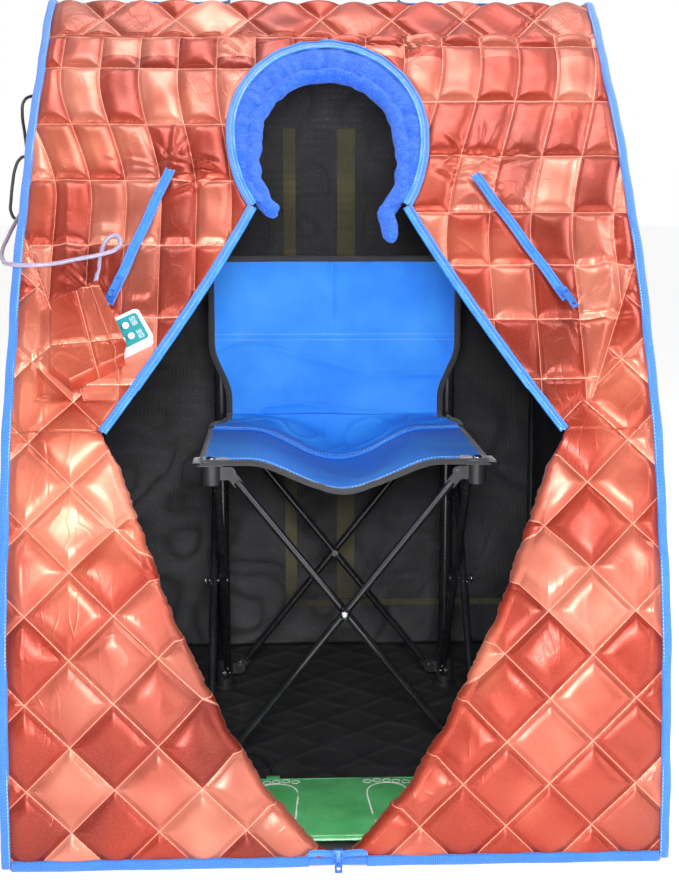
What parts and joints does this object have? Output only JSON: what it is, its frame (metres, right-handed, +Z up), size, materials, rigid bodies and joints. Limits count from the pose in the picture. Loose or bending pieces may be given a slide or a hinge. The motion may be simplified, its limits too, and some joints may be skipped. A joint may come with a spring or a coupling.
{
  "type": "portable sauna",
  "caption": "Fabric sauna cabin with an open zipped front, neck collar, heater panels, folding chair, heated foot pad and wired remote.",
  "frame": {"origin": "on the ground under the middle of the cabin", "axes": "+Z up, -Y towards the open front, +X to the right of someone who looks at the front"},
  "size_m": [0.748, 0.8433, 1.0095],
  "materials": {
    "copper_satin": "quilted satin",
    "black_mesh": "mesh",
    "heater_film": "matt",
    "fibreglass": "satin",
    "blue_webbing": "woven",
    "zip_metal": "satin",
    "blue_fleece": "fleece",
    "white_plastic": "satin",
    "teal_face": "satin",
    "button_white": "satin",
    "grey_cord": "satin",
    "black_cord": "satin",
    "black_plastic": "satin",
    "pad_green": "satin",
    "floor_fabric": "woven",
    "black_steel": "satin",
    "chair_blue": "woven"
  },
  "bodies": {
    "root": {"floor_mat": "floor_fabric", "back_wall": "copper_satin", "left_wall": "copper_satin", "right_wall": "copper_satin", "roof_panel": "copper_satin", "yoke_panel": "copper_satin", "left_flap": "copper_satin", "right_flap": "copper_satin", "lining": "black_mesh", "heater_panels": "heater_film", "front_poles": "fibreglass", "rear_frame": "fibreglass", "blue_binding": "blue_webbing", "zip_tapes": "blue_webbing", "main_slider": "zip_metal", "neck_zip": "blue_webbing", "neck_collar": "blue_fleece", "arm_zips": "blue_webbing", "remote_pocket": "copper_satin", "remote_back": "white_plastic", "remote_front": "white_plastic", "remote_panel": "teal_face", "remote_cord": "grey_cord", "wiring_lead": "black_cord", "cord_connector": "black_plastic", "wall_gland": "black_plastic", "foot_pad": "pad_green", "pad_cable": "black_cord", "pad_plug": "black_plastic", "carry_handle": "blue_webbing", "power_inlet": "black_plastic", "foot_fl": "black_plastic", "seat_cloth": "chair_blue", "back_cloth": "chair_blue"},
    "arm_slider_left": {"arm_slider_left": "zip_metal"},
    "arm_slider_right": {"arm_slider_right": "zip_metal"},
    "arm_pull_left": {"arm_pull_left": "zip_metal"},
    "arm_pull_right": {"arm_pull_right": "zip_metal"},
    "main_pull": {"main_pull": "zip_metal"},
    "button_1": {"button_1": "button_white"},
    "button_2": {"button_2": "button_white"},
    "button_3": {"button_3": "button_white"},
    "button_4": {"button_4": "button_white"},
    "foot_fr": {"foot_fr": "black_plastic"},
    "foot_rl": {"foot_rl": "black_plastic", "post_left": "black_steel"},
    "foot_rr": {"foot_rr": "black_plastic", "post_right": "black_steel"},
    "hub_fl": {"hub_fl": "black_plastic"},
    "hub_fr": {"hub_fr": "black_plastic"},
    "hub_rl": {"hub_rl": "black_plastic"},
    "hub_rr": {"hub_rr": "black_plastic"},
    "front_rod_a": {"front_rod_a": "black_steel"},
    "front_rod_b": {"front_rod_b": "black_steel"},
    "left_rod_a": {"left_rod_a": "black_steel"},
    "left_rod_b": {"left_rod_b": "black_steel"},
    "right_rod_a": {"right_rod_a": "black_steel"},
    "right_rod_b": {"right_rod_b": "black_steel"},
    "rear_rod_a": {"rear_rod_a": "black_steel"},
    "rear_rod_b": {"rear_rod_b": "black_steel"}
  },
  "joints": [
    {"name": "chair_fold", "type": "hinge", "parent": "root", "child": "front_rod_a", "pos_m": [-0.12, -0.144, 0.032], "axis": [0, -1, 0], "range_deg": [0, 28], "deforming": ["seat_cloth", "back_cloth"]},
    {"name": "front_cross", "type": "hinge", "parent": "front_rod_a", "child": "front_rod_b", "pos_m": [0.018, -0.138, 0.2045], "axis": [0, -1, 0], "range_deg": [-56.5, 0.5]},
    {"name": "foot_fr_pivot", "type": "hinge", "parent": "front_rod_b", "child": "foot_fr", "pos_m": [0.156, -0.132, 0.032], "axis": [0, -1, 0], "range_deg": [-0.5, 28.5]},
    {"name": "hub_fr_pivot", "type": "hinge", "parent": "front_rod_a", "child": "hub_fr", "pos_m": [0.156, -0.144, 0.377], "axis": [0, -1, 0], "range_deg": [-28.5, 0.5]},
    {"name": "hub_fl_pivot", "type": "hinge", "parent": "front_rod_b", "child": "hub_fl", "pos_m": [-0.12, -0.132, 0.377], "axis": [0, -1, 0], "range_deg": [-0.5, 28.5]},
    {"name": "left_lower_pivot", "type": "hinge", "parent": "root", "child": "left_rod_a", "pos_m": [-0.148, -0.116, 0.032], "axis": [1, 0, 0], "range_deg": [-0.5, 28.5]},
    {"name": "left_cross", "type": "hinge", "parent": "left_rod_a", "child": "left_rod_b", "pos_m": [-0.142, 0.022, 0.2045], "axis": [1, 0, 0], "range_deg": [-56.5, 0.5]},
    {"name": "foot_rl_pivot", "type": "hinge", "parent": "left_rod_b", "child": "foot_rl", "pos_m": [-0.136, 0.16, 0.032], "axis": [1, 0, 0], "range_deg": [-0.5, 28.5]},
    {"name": "hub_rl_pivot", "type": "hinge", "parent": "left_rod_a", "child": "hub_rl", "pos_m": [-0.148, 0.16, 0.377], "axis": [1, 0, 0], "range_deg": [-28.5, 0.5]},
    {"name": "right_lower_pivot", "type": "hinge", "parent": "foot_fr", "child": "right_rod_a", "pos_m": [0.184, -0.116, 0.032], "axis": [1, 0, 0], "range_deg": [-0.5, 28.5]},
    {"name": "right_cross", "type": "hinge", "parent": "right_rod_a", "child": "right_rod_b", "pos_m": [0.178, 0.022, 0.2045], "axis": [1, 0, 0], "range_deg": [-56.5, 0.5]},
    {"name": "foot_rr_pivot", "type": "hinge", "parent": "right_rod_b", "child": "foot_rr", "pos_m": [0.172, 0.16, 0.032], "axis": [1, 0, 0], "range_deg": [-0.5, 28.5]},
    {"name": "hub_rr_pivot", "type": "hinge", "parent": "right_rod_a", "child": "hub_rr", "pos_m": [0.184, 0.16, 0.377], "axis": [1, 0, 0], "range_deg": [-28.5, 0.5]},
    {"name": "rear_lower_pivot", "type": "hinge", "parent": "foot_rl", "child": "rear_rod_a", "pos_m": [-0.12, 0.188, 0.032], "axis": [0, -1, 0], "range_deg": [-0.5, 28.5]},
    {"name": "rear_cross", "type": "hinge", "parent": "rear_rod_a", "child": "rear_rod_b", "pos_m": [0.018, 0.182, 0.2045], "axis": [0, -1, 0], "range_deg": [-56.5, 0.5]},
    {"name": "arm_zip_left", "type": "slide", "parent": "root", "child": "arm_slider_left", "axis": [0.3173, 0.5661, 0.7608], "range_m": [0, 0.172]},
    {"name": "arm_pull_left_hinge", "type": "hinge", "parent": "arm_slider_left", "child": "arm_pull_left", "pos_m": [-0.24292, -0.25053, 0.59779], "axis": [0.9483, -0.1894, -0.2546], "range_deg": [0, 110]},
    {"name": "arm_zip_right", "type": "slide", "parent": "root", "child": "arm_slider_right", "axis": [-0.4695, 0.5271, 0.7084], "range_m": [0, 0.172]},
    {"name": "arm_pull_right_hinge", "type": "hinge", "parent": "arm_slider_right", "child": "arm_pull_right", "pos_m": [0.25631, -0.2471, 0.60241], "axis": [-0.8829, -0.2803, -0.3766], "range_deg": [0, 165]},
    {"name": "main_pull_hinge", "type": "hinge", "parent": "root", "child": "main_pull", "pos_m": [0, -0.41, 0.012], "axis": [-1, 0, 0], "range_deg": [0, 130]},
    {"name": "button_1_press", "type": "slide", "parent": "root", "child": "button_1", "axis": [0, 0.8662, -0.4998], "range_m": [0, 0.001], "stiffness_N_per_m": 150},
    {"name": "button_2_press", "type": "slide", "parent": "root", "child": "button_2", "axis": [0, 0.8662, -0.4998], "range_m": [0, 0.001], "stiffness_N_per_m": 150},
    {"name": "button_3_press", "type": "slide", "parent": "root", "child": "button_3", "axis": [0, 0.8662, -0.4998], "range_m": [0, 0.001], "stiffness_N_per_m": 150},
    {"name": "button_4_press", "type": "slide", "parent": "root", "child": "button_4", "axis": [0, 0.8662, -0.4998], "range_m": [0, 0.001], "stiffness_N_per_m": 150}
  ],
  "couplings": [
    {"joint": "front_cross", "follows": "chair_fold", "ratio": -2},
    {"joint": "foot_fr_pivot", "follows": "chair_fold", "ratio": 1},
    {"joint": "hub_fr_pivot", "follows": "chair_fold", "ratio": -1},
    {"joint": "hub_fl_pivot", "follows": "chair_fold", "ratio": 1},
    {"joint": "left_lower_pivot", "follows": "chair_fold", "ratio": 1},
    {"joint": "left_cross", "follows": "chair_fold", "ratio": -2},
    {"joint": "foot_rl_pivot", "follows": "chair_fold", "ratio": 1},
    {"joint": "hub_rl_pivot", "follows": "chair_fold", "ratio": -1},
    {"joint": "right_lower_pivot", "follows": "chair_fold", "ratio": 1},
    {"joint": "right_cross", "follows": "chair_fold", "ratio": -2},
    {"joint": "foot_rr_pivot", "follows": "chair_fold", "ratio": 1},
    {"joint": "hub_rr_pivot", "follows": "chair_fold", "ratio": -1},
    {"joint": "rear_lower_pivot", "follows": "chair_fold", "ratio": 1},
    {"joint": "rear_cross", "follows": "chair_fold", "ratio": -2}
  ]
}
